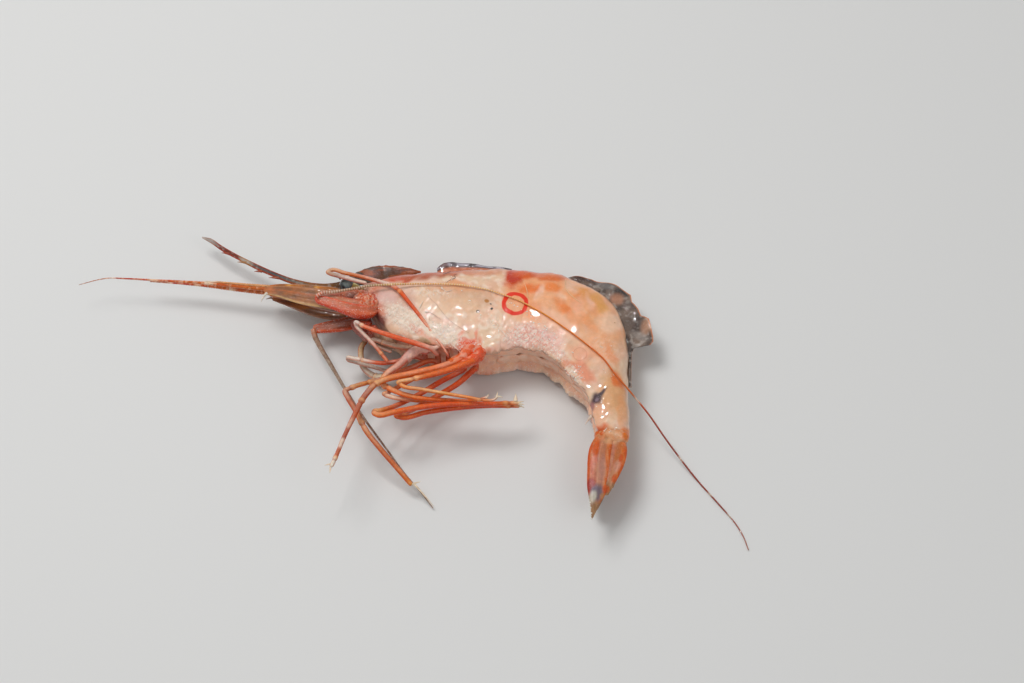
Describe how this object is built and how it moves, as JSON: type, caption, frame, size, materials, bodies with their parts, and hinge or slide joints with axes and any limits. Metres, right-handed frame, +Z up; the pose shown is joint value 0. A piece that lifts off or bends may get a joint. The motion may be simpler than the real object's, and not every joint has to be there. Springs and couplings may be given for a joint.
{
  "type": "shrimp model",
  "caption": "Life-size still model of a deep-water shrimp lying on its right side with its legs and feelers folded and its tail curled under.",
  "frame": {"origin": "on the floor, under the middle of the whole model's bounding box", "axes": "+X from the head's feelers towards the tail bend, +Y from the belly towards the back, +Z up, from the right flank to the left"},
  "size_m": [0.0724, 0.0388, 0.0073],
  "materials": {
    "wet_flesh": "wet, half clear cream and orange shell",
    "red_shell": "wet red and orange shell",
    "leg_shell": "wet banded orange leg shell",
    "antenna_shell": "red feeler with white bands",
    "amber_shell": "thin brown and orange shell",
    "clear_shell": "loose clear grey shell film",
    "eye": "dark glossy eye"
  },
  "bodies": {
    "root": {"antenna_base_left": "antenna_shell", "antenna_base_right": "antenna_shell", "antenna_left_far": "antenna_shell", "antenna_left_middle": "antenna_shell", "antenna_left_near": "antenna_shell", "antenna_right_far": "amber_shell", "antenna_right_near": "amber_shell", "antennal_scale_left": "amber_shell", "antennal_scale_right": "amber_shell", "antennule_lash_left": "red_shell", "antennule_lash_right": "red_shell", "antennule_left": "amber_shell", "antennule_right": "amber_shell", "breast_plate": "wet_flesh", "carapace": "wet_flesh", "eye_left": "eye", "eye_right": "eye", "leg_1_left_lower": "leg_shell", "leg_1_left_upper": "leg_shell", "leg_1_right_lower": "leg_shell", "leg_1_right_upper": "leg_shell", "leg_2_left_lower": "leg_shell", "leg_2_left_upper": "leg_shell", "leg_2_right_lower": "leg_shell", "leg_2_right_upper": "leg_shell", "leg_3_left_lower": "leg_shell", "leg_3_left_upper": "leg_shell", "leg_3_right_lower": "leg_shell", "leg_3_right_upper": "leg_shell", "leg_4_left_lower": "leg_shell", "leg_4_left_upper": "leg_shell", "leg_4_right_lower": "leg_shell", "leg_4_right_upper": "leg_shell", "leg_5_left_lower": "leg_shell", "leg_5_left_upper": "leg_shell", "leg_5_right_lower": "leg_shell", "leg_5_right_upper": "leg_shell", "maxilliped_left": "leg_shell", "maxilliped_right_lower": "leg_shell", "maxilliped_right_upper": "leg_shell", "mouthparts": "antenna_shell", "pleopods_1": "red_shell", "pleopods_2": "red_shell", "pleopods_3": "red_shell", "pleopods_4": "red_shell", "pleopods_5": "red_shell", "rostrum": "red_shell", "shell_film_back": "clear_shell", "shell_film_bend": "clear_shell", "somite_1": "wet_flesh", "somite_2": "wet_flesh", "somite_3": "wet_flesh", "somite_4": "wet_flesh", "somite_5": "wet_flesh", "somite_6": "wet_flesh", "telson": "red_shell", "uropod_inner_left": "red_shell", "uropod_inner_right": "red_shell", "uropod_outer_left": "red_shell", "uropod_outer_right": "red_shell"}
  },
  "joints": []
}
